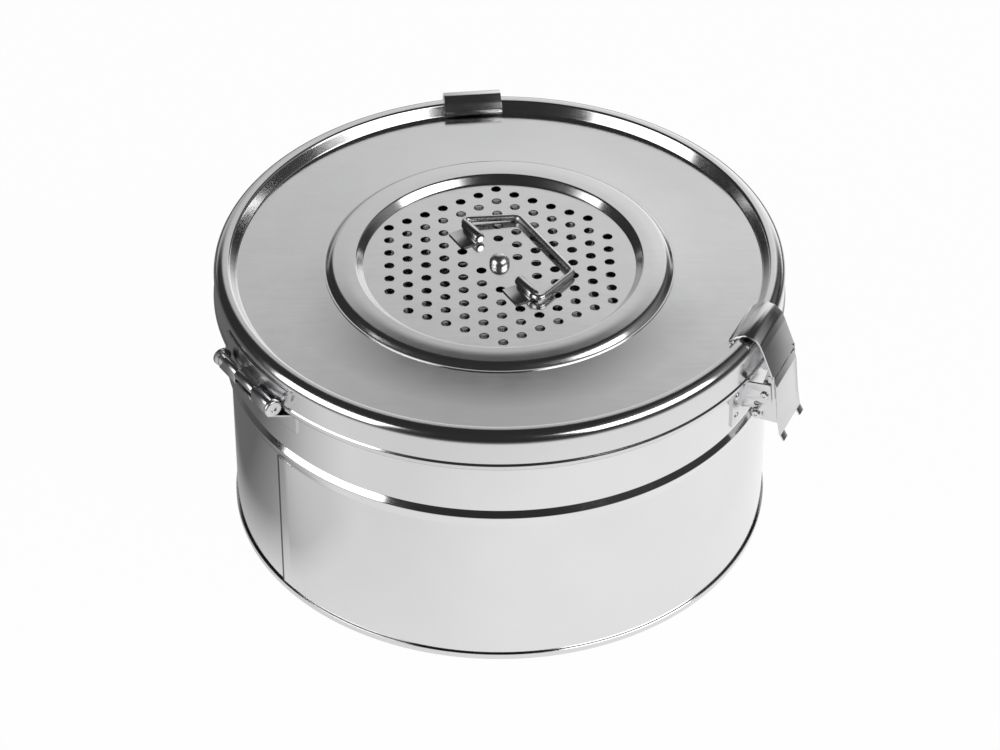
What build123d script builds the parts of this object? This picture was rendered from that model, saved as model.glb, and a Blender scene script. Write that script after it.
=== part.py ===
import os
from math import cos, degrees, hypot, radians, sin, sqrt

from build123d import *

# Sterilization drum. Millimetres, +Z up. The origin is on the drum's axis, in the plane that the
# drum stands on. Azimuths are in degrees from +X, seen from above.

# ---- drum ----
wall_radius = 164.9        # outer radius of the wall below the bead
wall_sheet = 0.7
band_radius = 165.8        # outer radius of the band between bead and mouth
bead_crest_radius = 168.2
chime_radius = 166.1       # outer radius of the folded bottom edge
chime_height = 4.0
bottom_height = 6.0        # middle of the bottom plate's sheet above the floor
bottom_sheet = 0.8
drum_height = 172.4        # floor to the top of the rolled mouth
mouth_roll_radius = 2.55   # middle of the sheet
bead_top_below_mouth = 55.3
bead_crest_below_mouth = 59.7
bead_foot_below_mouth = 67.9
seam_azimuth = -143.0
seam_width = 0.5
seam_depth = 0.3

# ---- lid ----
lid_sheet = 0.8
plate_above_mouth = -1.0   # top of the flat lid plate against the top of the mouth
rim_inner_radius = 159.3   # where the plate turns up into the rim
rim_top_radius = 163.2     # where the slope reaches the rim's flat top
rim_rise = 6.9             # rim's flat top above the plate
rim_rounding = 6.0         # middle of the sheet
skirt_radius = 172.5       # outside
skirt_depth = 18.0         # plate top to the skirt's lower edge
hem_height = 4.5
hem_bulge = 0.75
cone_foot_radius = 123.0   # the plate curves up gently round here towards the filter ring
cone_rise = 0.6
cone_rounding = 880.0
gasket_width = 6.7
gasket_height = 4.3
gasket_gap = 0.3           # between the closed lid's gasket and the mouth

# ---- filter in the lid ----
cover_sheet = 0.6
disc_radius = 82.8         # flat perforated disc
ring_inner_radius = 86.8
ring_crown_radius = 93.5
ring_outer_radius = 101.6
ring_foot_radius = 104.8
cover_radius = 106.0
ring_rise = 4.4            # ring's top above the disc
ring_fall = 0.4            # ring's top falls this much from its crown to its outer edge
recess_radius = 84.5       # the lid's own perforated centre under the cover
recess_step = 4.0
recess_depth = 2.2         # top of the lid's centre below the plate
cloth_thickness = 1.0
cloth_radius = 104.0
filter_dish = 7.0          # how far the filter hangs below its clamped edge
plate_rim_radius = 108.0
filter_plate_sheet = 0.8
face_gap = 0.1             # between stacked sheets

# ---- perforation ----
hole_pitch = 12.818
hole_diameter = 6.2
hole_field_radius = 77.5
hole_turn = 1.636          # the pattern's turn about the axis, degrees
lower_hole_turn = 5.5      # the sheets underneath are turned a little further
no_holes_under = [         # (column, row) of the holes left out for nut and handle brackets
    (-6, 6), (6, -6), (0, 0), (0, 2), (0, -2), (-1, -1), (1, 1), (-2, -6), (-2, -4), (-1, -7),
    (-1, -5), (-1, -3), (1, 3), (1, 5), (2, 4), (2, 6),
]

# ---- studs and nuts ----
stud_radius = 3.0
stud_clearance = 0.3       # in the sheets
nut_clearance = 0.1
dome_nut_radius = 6.1
dome_nut_height = 6.5
dome_nut_bore = 0.6        # share of its height that the stud fills
wing_hub_radius = 6.0
wing_hub_height = 7.0
wing_span = 34.0
wing_height = 13.0
wing_thickness = 2.4
lid_stud_reach = 14.0      # stud below the lid's filter plate
bottom_stud_reach = 14.0   # stud above the bottom's filter plate
bottom_plate_radius = 92.0

# ---- handle ----
handle_azimuth = -60.0     # direction of the handle's pivot axis
wire_radius = 2.0
handle_root = 46.5         # half the distance between the legs at the pivot
handle_grip = 32.5         # half the length of the grip
handle_reach = 32.5        # pivot to grip
handle_drop = 1.1          # grip below the pivot when folded down
handle_root_bend = 3.0
handle_grip_bend = 5.0
barrel_radius = 3.5
barrel_clearance = 0.1
barrel_start = 24.0
barrel_end = 41.0
bracket_flap = 12.0
bracket_sheet = 1.0

# ---- hinge ----
hinge_azimuth = -146.5
hinge_radius = 177.5       # pin from the drum's axis
hinge_below_plate = 13.0
pin_radius = 1.9
pin_clearance = 0.1
knuckle_radius = 3.25
knuckle_gap = 0.3
lid_knuckle_half = 9.2
barrel_half = 27.5
pin_head_radius = 5.6
pin_head_height = 2.8
pin_head_rounding = 1.2
pin_recess_radius = 2.0    # the riveted end sits in a shallow dimple
pin_recess_depth = 0.8
leaf_sheet = 1.2
lid_leaf_half_angle = 11.5
lid_leaf_top = 0.5         # below the plate
lid_leaf_bottom = 12.8
body_leaf_half_angle = 10.9
body_leaf_top = 24.0
body_leaf_bottom = 37.0
leaf_knee_radius = 180.1   # where the body leaf turns up to the barrel
leaf_knee_below = 19.0
wall_trim = 4.0            # flat pieces run this far into the round band, then are cut to it
weld_dot_radius = 2.0
weld_dot_height = 0.6
weld_dot_sink = 0.1
weld_dot_azimuth = 8.0     # from the hinge's middle
weld_dot_below = 31.0

# ---- latches ----
latch_azimuths = {"back": 96.0, "right": -24.0}
lever_pivot = (179.9, -28.8)    # distance from the axis, height over the lid plate
hook_pivot = (174.7, -45.2)
latch_sheet = 1.2
hook_half_width = 18.0
latch_gap = 0.4                 # between neighbouring cheeks
nose_radius = 1.7
hook_outline = [                # middle of the hook's sheet, from the rolled nose down
    (156.9, 4.2), (160.5, 7.4), (165.6, 10.0), (170.4, 9.3), (174.5, 6.0), (176.9, 1.0),
    (184.0, -16.7),
]
hook_leg_knee = (184.0, -31.0)
hook_leg_top = (182.6, -15.0)
hook_leg_width = 3.6
lever_outline = [               # middle of the lever's face, from its top edge down
    (183.8, -18.8), (185.7, -23.5), (187.1, -38.0), (188.0, -47.0), (189.9, -58.0),
]
cheek_outline = [               # the lever's cheek behind its face
    (183.4, -19.2), (178.0, -20.6), (176.4, -28.0), (171.5, -42.6), (171.4, -47.2),
    (175.6, -49.6), (188.0, -49.6), (187.0, -38.0), (185.6, -23.5),
]
ear_outline = [                 # the bracket's ear
    (162.0, -26.0), (170.0, -22.0), (183.0, -20.6), (184.3, -33.5), (172.8, -39.6),
    (162.0, -42.5),
]
ear_hole = (175.3, -36.0)
ear_hole_radius = 1.7
base_top = 24.0                 # bracket's plate below the lid plate
base_bottom = 50.5
base_half_width = 30.0
base_sheet = 1.2
pivot_radius = 1.6
pivot_clearance = 0.1
pivot_head_radius = 2.5
pivot_head_height = 1.0
tip_width = 6.0                 # folded corners of the lever's tab
tip_reach = 4.0
rivet_head_radius = 2.4
rivet_head_height = 1.0
rivet_offset = 25.0             # from the latch's middle, along the wall
rivet_heights = (30.0, 45.0)    # below the lid plate

# ---- heights that follow ----
plate_z = drum_height + plate_above_mouth
plate_mid = plate_z - lid_sheet / 2
cone_top = plate_z + cone_rise
bead_top = drum_height - bead_top_below_mouth
bead_crest = drum_height - bead_crest_below_mouth
bead_foot = drum_height - bead_foot_below_mouth
mouth_center_z = drum_height - wall_sheet / 2 - mouth_roll_radius
stud_hole = stud_radius + stud_clearance
clamp_z = cone_top - lid_sheet - face_gap
cloth_edge_mid = clamp_z - cloth_thickness / 2
cloth_low_mid = cloth_edge_mid - filter_dish
plate_stack = (cloth_thickness + filter_plate_sheet) / 2 + face_gap
filter_plate_low = cloth_low_mid - plate_stack - filter_plate_sheet / 2
bottom_top = bottom_height + bottom_sheet / 2
bottom_plate_mid = bottom_top + cloth_thickness + 2 * face_gap + filter_plate_sheet / 2
bottom_plate_top = bottom_plate_mid + filter_plate_sheet / 2

parts = []


def keep(part, label):
    """Name a finished piece and write it to its own file."""
    part.label = label
    parts.append(label)
    export_step(part, f"parts/{label}.step")


def upright(azimuth, offset=0.0):
    """The upright plane through the drum's axis at an azimuth: x runs outwards, y up. The offset
    moves it sideways, along its normal."""
    turn = radians(azimuth)
    normal = (sin(turn), -cos(turn), 0)
    origin = (normal[0] * offset, normal[1] * offset, 0)
    return Plane(origin=origin, x_dir=(cos(turn), sin(turn), 0), z_dir=normal)


def hole_places(turn, radius):
    """Centres of a triangular pattern of holes inside a radius, turned about the axis."""
    column = hole_pitch * sqrt(3) / 2
    row = hole_pitch / 2
    span = int(hole_field_radius / row) + 1
    places = []
    for k in range(-span, span + 1):
        for m in range(-span, span + 1):
            x = k * column
            y = -m * row
            if (k + m) % 2 == 0 and hypot(x, y) <= radius and (k, m) not in no_holes_under:
                c = cos(radians(turn))
                s = sin(radians(turn))
                places.append((x * c - y * s, x * s + y * c))
    return places


def perforated(points, radii, sheet, turn, bottom, top):
    """A disc spun from a line of sheet metal, with a hole for the stud and the hole pattern."""
    with BuildPart() as disc:
        with BuildSketch(Plane.XZ):
            with BuildLine():
                FilletPolyline(*points, radius=radii)
            trace(line_width=sheet)
        revolve(axis=Axis.Z)
        with BuildSketch(Plane.XY.offset(bottom)):
            with Locations(*hole_places(turn, hole_field_radius)):
                Circle(hole_diameter / 2)
        extrude(amount=top - bottom, mode=Mode.SUBTRACT)
    return disc.part


def wing_nut(base, up):
    """A wing nut on the axis: base is its seat's height, up is 1 or -1."""
    with BuildPart() as nut:
        with BuildSketch(Plane.XY.offset(base)):
            Circle(wing_hub_radius)
            Circle(stud_radius + nut_clearance, mode=Mode.SUBTRACT)
        extrude(amount=up * wing_hub_height)
        with BuildSketch(Plane.XZ):
            for side in (-1, 1):
                with BuildLine():
                    Polyline(
                        (side * (wing_hub_radius - 1.0), base + up * 1.5),
                        (side * (wing_hub_radius + 3.0), base + up * 1.5),
                        (side * wing_span / 2, base + up * wing_height * 0.6),
                        (side * (wing_span / 2 - 1.5), base + up * wing_height),
                        (side * (wing_span / 2 - 7.0), base + up * wing_height * 0.85),
                        (side * (wing_hub_radius - 1.0), base + up * wing_hub_height),
                        close=True,
                    )
                make_face()
        extrude(amount=wing_thickness / 2, both=True)
    return nut.part


os.makedirs("parts", exist_ok=True)

# ---- drum shell: the rolled wall with its bead and its outward rolled mouth ----
wall_mid = wall_radius - wall_sheet / 2
band_mid = band_radius - wall_sheet / 2
crest_mid = bead_crest_radius - wall_sheet / 2
mouth_center = (band_mid + mouth_roll_radius, mouth_center_z)
with BuildPart() as drum_shell:
    with BuildSketch(Plane.XZ):
        with BuildLine():
            FilletPolyline(
                (wall_mid, bottom_sheet + face_gap),
                (wall_mid, bead_foot),
                (crest_mid, bead_crest),
                (band_mid, bead_top),
                (band_mid, mouth_center_z),
                radius=[4.0, 1.2, 1.2],
            )
            CenterArc(mouth_center, mouth_roll_radius, 180, -270)
        trace(line_width=wall_sheet)
    revolve(axis=Axis.Z)
    seam_plane = Plane(origin=(0, 0, chime_height), z_dir=(0, 0, 1))
    with BuildSketch(seam_plane.rotated((0, 0, seam_azimuth))):
        with Locations((wall_radius, 0)):
            Rectangle(2 * seam_depth, seam_width)
    extrude(amount=bead_foot - chime_height, mode=Mode.SUBTRACT)
keep(drum_shell.part, "drum_shell")

# ---- drum bottom: a perforated plate whose edge folds round the wall into the chime ----
chime_mid = chime_radius - bottom_sheet / 2
chime_inner = wall_radius - wall_sheet - 0.4 - bottom_sheet / 2
with BuildPart() as drum_bottom:
    with BuildSketch(Plane.XZ):
        with BuildLine():
            FilletPolyline(
                (stud_hole, bottom_height),
                (chime_inner, bottom_height),
                (chime_inner, bottom_sheet / 2),
                (chime_mid, bottom_sheet / 2),
                (chime_mid, chime_height),
                radius=[1.5, 0.5, 0.5],
            )
        trace(line_width=bottom_sheet)
    revolve(axis=Axis.Z)
    with BuildSketch(Plane.XY.offset(bottom_height - bottom_sheet)):
        with Locations(*hole_places(hole_turn, hole_field_radius)):
            Circle(hole_diameter / 2)
    extrude(amount=2 * bottom_sheet, mode=Mode.SUBTRACT)
keep(drum_bottom.part, "drum_bottom")

# ---- bottom filter: cloth, perforated plate, stud and wing nut ----
with BuildPart() as bottom_filter_cloth:
    with BuildSketch(Plane.XY.offset(bottom_top + face_gap)):
        Circle(bottom_plate_radius - 2.0)
        Circle(stud_hole, mode=Mode.SUBTRACT)
    extrude(amount=cloth_thickness)
keep(bottom_filter_cloth.part, "bottom_filter_cloth")

bottom_filter_plate = perforated(
    [
        (stud_hole, bottom_plate_mid),
        (bottom_plate_radius, bottom_plate_mid),
        (bottom_plate_radius + 1.5, bottom_plate_mid + 2.5),
    ],
    [1.0],
    filter_plate_sheet,
    lower_hole_turn,
    bottom_plate_mid - filter_plate_sheet,
    bottom_plate_top + filter_plate_sheet,
)
keep(bottom_filter_plate, "bottom_filter_plate")

with BuildPart() as bottom_stud:
    with BuildSketch(Plane.XY.offset(bottom_height - bottom_sheet / 2 - 2.0)):
        Circle(stud_radius + 4.0)
    extrude(amount=2.0)
    with BuildSketch(Plane.XY.offset(bottom_height - bottom_sheet / 2)):
        Circle(stud_radius)
    extrude(amount=bottom_plate_top + bottom_stud_reach - bottom_height)
keep(bottom_stud.part, "bottom_stud")
keep(wing_nut(bottom_plate_top + face_gap, 1), "bottom_wing_nut")

# ---- lid shell: one pressed sheet with the raised rim that holds the gasket ----
skirt_mid = skirt_radius - lid_sheet / 2
hem_top = plate_z - skirt_depth + hem_height
hem_low = plate_z - skirt_depth
lid_center_z = plate_mid - recess_depth
cone_mid = cone_top - lid_sheet / 2
lid_line = [
    (stud_hole, lid_center_z),
    (recess_radius, lid_center_z),
    (recess_radius + recess_step, cone_mid),
    (cover_radius, cone_mid),
    (cone_foot_radius, plate_mid),
    (rim_inner_radius, plate_mid),
    (rim_top_radius, plate_mid + rim_rise),
    (skirt_mid, plate_mid + rim_rise),
    (skirt_mid, hem_top),
    (skirt_mid + hem_bulge, hem_top - hem_height * 0.3),
    (skirt_mid + hem_bulge, hem_low + hem_height * 0.3),
    (skirt_mid, hem_low),
]
lid_shell = perforated(
    lid_line,
    [1.0, 1.0, 30.0, cone_rounding, 1.5, 1.5, rim_rounding, 0.8, 0.8, 0.8],
    lid_sheet,
    lower_hole_turn,
    lid_center_z - lid_sheet,
    lid_center_z + lid_sheet,
)
keep(lid_shell, "lid_shell")

# ---- lid gasket: a rubber ring in the channel under the rim ----
gasket_low = drum_height + gasket_gap
gasket_out = skirt_radius - lid_sheet - 0.8
with BuildPart() as lid_gasket:
    with BuildSketch(Plane.XZ):
        with BuildLine():
            FilletPolyline(
                (gasket_out - gasket_width, gasket_low),
                (gasket_out, gasket_low),
                (gasket_out, gasket_low + gasket_height),
                (gasket_out - gasket_width, gasket_low + gasket_height),
                radius=[0.5, 0.5, 3.7, 1.0],
                close=True,
            )
        make_face()
    revolve(axis=Axis.Z)
keep(lid_gasket.part, "lid_gasket")

# ---- filter cover: the raised ring and the perforated disc on top of the lid ----
cover_mid = plate_z - cover_sheet / 2
foot_mid = cone_top + cover_sheet / 2
filter_cover = perforated(
    [
        (stud_hole, cover_mid),
        (disc_radius, cover_mid),
        (ring_inner_radius, cover_mid + ring_rise),
        (ring_crown_radius, cover_mid + ring_rise),
        (ring_outer_radius, cover_mid + ring_rise - ring_fall),
        (ring_foot_radius, foot_mid),
        (cover_radius, foot_mid),
    ],
    [1.0, 1.2, 100.0, 4.5, 1.0],
    cover_sheet,
    hole_turn,
    cover_mid - cover_sheet,
    cover_mid + cover_sheet,
)
keep(filter_cover, "filter_cover")

# ---- lid filter: the cloth and the dished plate that clamps it from below ----
dish_outer = 93.0
dish_inner = 86.0
with BuildPart() as lid_filter_cloth:
    with BuildSketch(Plane.XZ):
        with BuildLine():
            FilletPolyline(
                (stud_hole, cloth_low_mid),
                (dish_inner, cloth_low_mid),
                (dish_outer, cloth_edge_mid),
                (cloth_radius, cloth_edge_mid),
                radius=[2.0, 2.0],
            )
        trace(line_width=cloth_thickness)
    revolve(axis=Axis.Z)
keep(lid_filter_cloth.part, "lid_filter_cloth")

lid_filter_plate = perforated(
    [
        (stud_hole, cloth_low_mid - plate_stack),
        (dish_inner + 0.6, cloth_low_mid - plate_stack),
        (dish_outer + 0.6, cloth_edge_mid - plate_stack),
        (plate_rim_radius, cloth_edge_mid - plate_stack),
        (plate_rim_radius, cloth_edge_mid - plate_stack - 2.5),
    ],
    [2.0, 2.0, 1.0],
    filter_plate_sheet,
    hole_turn,
    filter_plate_low - filter_plate_sheet,
    filter_plate_low + 2 * filter_plate_sheet,
)
keep(lid_filter_plate, "lid_filter_plate")

# ---- the stud through the lid's filter, its dome nut above and wing nut below ----
with BuildPart() as filter_stud:
    with BuildSketch(Plane.XY.offset(filter_plate_low - lid_stud_reach)):
        Circle(stud_radius)
    extrude(amount=plate_z + dome_nut_height * dome_nut_bore - filter_plate_low + lid_stud_reach)
keep(filter_stud.part, "filter_stud")

with BuildPart() as dome_nut:
    with BuildSketch(Plane.XY.offset(plate_z)):
        Circle(dome_nut_radius)
    extrude(amount=dome_nut_height)
    fillet(dome_nut.faces().sort_by(Axis.Z)[-1].edges(), radius=dome_nut_radius * 0.85)
    with BuildSketch(Plane.XY.offset(plate_z)):
        Circle(stud_radius)
    extrude(amount=dome_nut_height * dome_nut_bore, mode=Mode.SUBTRACT)
keep(dome_nut.part, "dome_nut")
keep(wing_nut(filter_plate_low - face_gap, -1), "lid_wing_nut")

# ---- handle: bent wire, with a barrel bracket at each end ----
handle_turn = radians(handle_azimuth)
along = (cos(handle_turn), sin(handle_turn), 0)
across = (-sin(handle_turn), cos(handle_turn), 0)
pivot_z = plate_z + barrel_radius
for label, side in (("handle_bracket_left", -1), ("handle_bracket_right", 1)):
    start = barrel_start if side > 0 else -barrel_end
    end = barrel_end if side > 0 else -barrel_start
    section = Plane(
        origin=tuple(start * value for value in along),
        x_dir=across,
        z_dir=along,
    )
    with BuildPart() as handle_bracket:
        with BuildSketch(section):
            with Locations((0, pivot_z)):
                Circle(barrel_radius)
            with Locations((-bracket_flap / 2, plate_z + bracket_sheet / 2)):
                Rectangle(bracket_flap, bracket_sheet)
            with Locations((0, pivot_z)):
                Circle(wire_radius + barrel_clearance, mode=Mode.SUBTRACT)
        extrude(amount=end - start)
    keep(handle_bracket.part, label)

fold = Plane(
    origin=(0, 0, pivot_z),
    x_dir=along,
    z_dir=(
        across[0] * handle_drop / handle_reach,
        across[1] * handle_drop / handle_reach,
        1,
    ),
)
with BuildPart() as handle:
    with BuildLine(fold) as wire_line:
        FilletPolyline(
            (-(barrel_start - 1.0), 0),
            (-handle_root, 0),
            (-handle_grip, handle_reach),
            (handle_grip, handle_reach),
            (handle_root, 0),
            (barrel_start - 1.0, 0),
            radius=[handle_root_bend, handle_grip_bend, handle_grip_bend, handle_root_bend],
        )
    with BuildSketch(Plane(origin=wire_line.line @ 0, z_dir=wire_line.line % 0)):
        Circle(wire_radius)
    sweep()
keep(handle.part, "handle")

# ---- hinge: a leaf on the skirt, a leaf on the band, and the pin through their knuckles ----
hinge_z = plate_z - hinge_below_plate
hinge_plane = upright(hinge_azimuth)


def wrapped_leaf(radius, low, high, half_angle):
    """Spin a curved plate that lies on a round wall, centred on the hinge."""
    with BuildSketch(upright(hinge_azimuth - half_angle)) as section:
        with Locations((radius + leaf_sheet / 2, (low + high) / 2)):
            Rectangle(leaf_sheet, high - low)
    revolve(section.sketch, axis=Axis.Z, revolution_arc=2 * half_angle)


def trim_to_band():
    """Cut away what reaches inside the round band."""
    with BuildSketch(Plane.XY) as inside:
        Circle(band_radius)
    extrude(inside.sketch, amount=drum_height, mode=Mode.SUBTRACT)


with BuildPart() as hinge_lid_leaf:
    wrapped_leaf(
        skirt_radius, plate_z - lid_leaf_bottom, plate_z - lid_leaf_top, lid_leaf_half_angle
    )
    with BuildSketch(hinge_plane):
        with Locations((hinge_radius, hinge_z)):
            Circle(knuckle_radius)
        arm_middle = (skirt_radius + leaf_sheet / 2 + hinge_radius) / 2
        with Locations((arm_middle, hinge_z + knuckle_radius - leaf_sheet / 2)):
            Rectangle(hinge_radius - skirt_radius - leaf_sheet / 2, leaf_sheet)
    extrude(amount=lid_knuckle_half, both=True)
    with BuildSketch(hinge_plane):
        with Locations((hinge_radius, hinge_z)):
            Circle(pin_radius + pin_clearance)
    extrude(amount=barrel_half, both=True, mode=Mode.SUBTRACT)
keep(hinge_lid_leaf.part, "hinge_lid_leaf")

with BuildPart() as hinge_body_leaf:
    wrapped_leaf(
        band_radius, plate_z - body_leaf_bottom, plate_z - body_leaf_top, body_leaf_half_angle
    )
    with BuildSketch(hinge_plane):
        with BuildLine():
            Polyline(
                (band_radius - wall_trim, plate_z - body_leaf_top - leaf_sheet - wall_trim / 2),
                (leaf_knee_radius, plate_z - leaf_knee_below),
            )
        trace(line_width=leaf_sheet)
    extrude(amount=barrel_half, both=True)
    knuckle_length = barrel_half - lid_knuckle_half - knuckle_gap
    for side in (-1, 1):
        start = lid_knuckle_half + knuckle_gap if side > 0 else -barrel_half
        with BuildSketch(upright(hinge_azimuth, start)):
            with BuildLine():
                Polyline(
                    (leaf_knee_radius, plate_z - leaf_knee_below),
                    (leaf_knee_radius, hinge_z),
                )
            trace(line_width=leaf_sheet)
            with Locations((hinge_radius, hinge_z)):
                Circle(knuckle_radius)
        extrude(amount=knuckle_length)
    with BuildSketch(hinge_plane):
        with Locations((hinge_radius, hinge_z)):
            Circle(pin_radius)
    extrude(amount=barrel_half, both=True, mode=Mode.SUBTRACT)
    for side in (-1, 1):
        dot = upright(hinge_azimuth + side * weld_dot_azimuth)
        dot_face = Plane(
            origin=dot.from_local_coords(
                (band_radius + leaf_sheet - weld_dot_sink, plate_z - weld_dot_below)
            ),
            z_dir=dot.x_dir,
        )
        with BuildSketch(dot_face):
            Circle(weld_dot_radius)
        extrude(amount=weld_dot_height, taper=30)
    trim_to_band()
keep(hinge_body_leaf.part, "hinge_body_leaf")

with BuildPart() as hinge_pin:
    with BuildSketch(hinge_plane):
        with Locations((hinge_radius, hinge_z)):
            Circle(pin_radius)
    extrude(amount=barrel_half + knuckle_gap, both=True)
    for side in (-1, 1):
        head = upright(hinge_azimuth, side * (barrel_half + knuckle_gap))
        with BuildSketch(head):
            with Locations((hinge_radius, hinge_z)):
                Circle(pin_head_radius)
        extrude(amount=side * pin_head_height)
    ends = hinge_pin.faces().filter_by(lambda f: f.geom_type == GeomType.PLANE)
    outer = [ends.sort_by(Axis(hinge_plane.origin, hinge_plane.z_dir))[i] for i in (0, -1)]
    fillet([face.edges()[0] for face in outer], radius=pin_head_rounding)
    for side in (-1, 1):
        end = upright(hinge_azimuth, side * (barrel_half + knuckle_gap + pin_head_height))
        with BuildSketch(end):
            with Locations((hinge_radius, hinge_z)):
                Circle(pin_recess_radius)
        extrude(amount=-side * pin_recess_depth, mode=Mode.SUBTRACT)
keep(hinge_pin.part, "hinge_pin")

# ---- draw latches ----
leg_outer = hook_half_width
leg_inner = leg_outer - latch_sheet
cheek_outer = leg_inner - latch_gap
cheek_inner = cheek_outer - latch_sheet
ear_inner = leg_outer + latch_gap
ear_outer = ear_inner + latch_sheet


def raised(point):
    """A latch point, from its height over the lid plate to its height over the floor."""
    return (point[0], plate_z + point[1])


def both_sides(azimuth, inner, outer):
    """The planes and lengths of a pair of plates either side of a latch's middle."""
    return [(upright(azimuth, -outer), outer - inner), (upright(azimuth, inner), outer - inner)]


def plate_pair(azimuth, inner, outer, points, corner, holes):
    """Extrude a pair of flat cheeks with round holes."""
    for plane, length in both_sides(azimuth, inner, outer):
        with BuildSketch(plane) as cheek:
            with BuildLine():
                FilletPolyline(*[raised(p) for p in points], radius=corner, close=True)
            make_face()
            for place, radius in holes:
                with Locations(raised(place)):
                    Circle(radius, mode=Mode.SUBTRACT)
        extrude(cheek.sketch, amount=length)


def pins(azimuth, place, spans, heads):
    """Round pins with flat heads: spans are shank ends along the latch, heads are head ends."""
    for start, end, radius in spans + heads:
        with BuildSketch(upright(azimuth, start)) as round_pin:
            with Locations(raised(place)):
                Circle(radius)
        extrude(round_pin.sketch, amount=end - start)


for name, azimuth in latch_azimuths.items():
    middle = upright(azimuth)

    # bracket: a plate bent to the band, with two ears
    with BuildPart() as bracket:
        half_angle = degrees(base_half_width / band_radius)
        with BuildSketch(upright(azimuth - half_angle)):
            with Locations(
                (band_radius + base_sheet / 2, plate_z - (base_top + base_bottom) / 2)
            ):
                Rectangle(base_sheet, base_bottom - base_top)
        revolve(axis=Axis.Z, revolution_arc=2 * half_angle)
        plate_pair(
            azimuth, ear_inner, ear_outer, ear_outline, 0.8,
            [(lever_pivot, pivot_radius), (ear_hole, ear_hole_radius)],
        )
        trim_to_band()
    keep(bracket.part, f"latch_{name}_bracket")

    # lever: a channel with a finger tab
    with BuildPart() as lever:
        with BuildSketch(middle):
            with BuildLine():
                FilletPolyline(*[raised(p) for p in lever_outline], radius=[2.0, 20.0, 20.0])
            trace(line_width=latch_sheet)
        extrude(amount=cheek_outer, both=True)
        plate_pair(
            azimuth, cheek_inner, cheek_outer, cheek_outline, 0.4,
            [(lever_pivot, pivot_radius + pivot_clearance), (hook_pivot, pivot_radius)],
        )
        tab_end = raised(lever_outline[-1])
        for side in (-1, 1):
            start = cheek_outer - tip_width if side > 0 else -cheek_outer
            with BuildSketch(upright(azimuth, start)):
                with BuildLine():
                    Polyline(
                        (tab_end[0], tab_end[1] + 0.2),
                        (tab_end[0] + tip_reach * 0.6, tab_end[1] - tip_reach),
                    )
                trace(line_width=latch_sheet * 0.8)
            extrude(amount=tip_width)
    keep(lever.part, f"latch_{name}_lever")

    # hook: a wide leaf over the lid's rim, with a rolled nose and two legs down to the lever
    with BuildPart() as hook:
        with BuildSketch(middle):
            with BuildLine():
                FilletPolyline(
                    *[raised(p) for p in hook_outline], radius=[2.5, 4.0, 4.0, 4.0, 5.0]
                )
            trace(line_width=latch_sheet)
            nose = raised((hook_outline[0][0], hook_outline[0][1] - 0.9))
            with Locations(nose):
                Circle(nose_radius)
        extrude(amount=hook_half_width, both=True)
        for plane, length in both_sides(azimuth, leg_inner, leg_outer):
            with BuildSketch(plane):
                with BuildLine():
                    Polyline(
                        raised(hook_pivot), raised(hook_leg_knee), raised(hook_leg_top)
                    )
                trace(line_width=hook_leg_width)
                with Locations(raised(hook_leg_knee)):
                    Circle(hook_leg_width / 2)
                with Locations(raised(hook_pivot)):
                    Circle(hook_leg_width)
                    Circle(pivot_radius + pivot_clearance, mode=Mode.SUBTRACT)
            extrude(amount=length)
    keep(hook.part, f"latch_{name}_hook")

    # pivots: two short rivets through the bracket's ears and the lever's cheeks
    with BuildPart() as pivots:
        for side in (-1, 1):
            shank = [side * (cheek_inner - 0.2), side * ear_outer]
            inner_head = [side * (cheek_inner - 0.2), side * (cheek_inner - 1.0)]
            outer_head = [side * ear_outer, side * (ear_outer + pivot_head_height)]
            pins(
                azimuth, lever_pivot,
                [(min(shank), max(shank), pivot_radius)],
                [
                    (min(inner_head), max(inner_head), pivot_head_radius),
                    (min(outer_head), max(outer_head), pivot_head_radius),
                ],
            )
    keep(pivots.part, f"latch_{name}_pivots")

    # hook pin: through both cheeks and both legs, with a head at each end
    with BuildPart() as hook_pin:
        reach = leg_outer + 0.2
        pins(
            azimuth, hook_pivot,
            [(-reach, reach, pivot_radius)],
            [
                (-reach - pivot_head_height, -reach, pivot_head_radius),
                (reach, reach + pivot_head_height, pivot_head_radius),
            ],
        )
    keep(hook_pin.part, f"latch_{name}_hook_pin")

    # rivets: four heads that hold the bracket to the band
    with BuildPart() as rivets:
        for side in (-1, 1):
            turn = azimuth + side * degrees(rivet_offset / band_radius)
            spoke = upright(turn)
            for below in rivet_heights:
                seat = Plane(
                    origin=spoke.from_local_coords((band_radius + base_sheet, plate_z - below)),
                    z_dir=spoke.x_dir,
                )
                with BuildSketch(seat):
                    Circle(rivet_head_radius)
                extrude(amount=rivet_head_height, taper=25)
    keep(rivets.part, f"latch_{name}_rivets")

print(len(parts), "pieces:", ", ".join(parts))
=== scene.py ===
from math import cos, degrees, hypot, pi, radians, sin, sqrt, tan

import bmesh
import bpy
from mathutils import Matrix, Vector


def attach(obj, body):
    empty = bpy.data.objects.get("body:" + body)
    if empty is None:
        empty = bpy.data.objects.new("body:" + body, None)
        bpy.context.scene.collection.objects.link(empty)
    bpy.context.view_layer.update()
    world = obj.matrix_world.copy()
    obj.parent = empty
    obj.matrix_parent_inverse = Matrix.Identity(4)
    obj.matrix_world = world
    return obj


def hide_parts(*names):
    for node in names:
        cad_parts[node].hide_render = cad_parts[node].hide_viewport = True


# A stainless-steel sterilization drum. Sizes are in millimetres unless a name says otherwise, and
# the meshes are made in metres. Heights are above the plane that the drum stands on.

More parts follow.
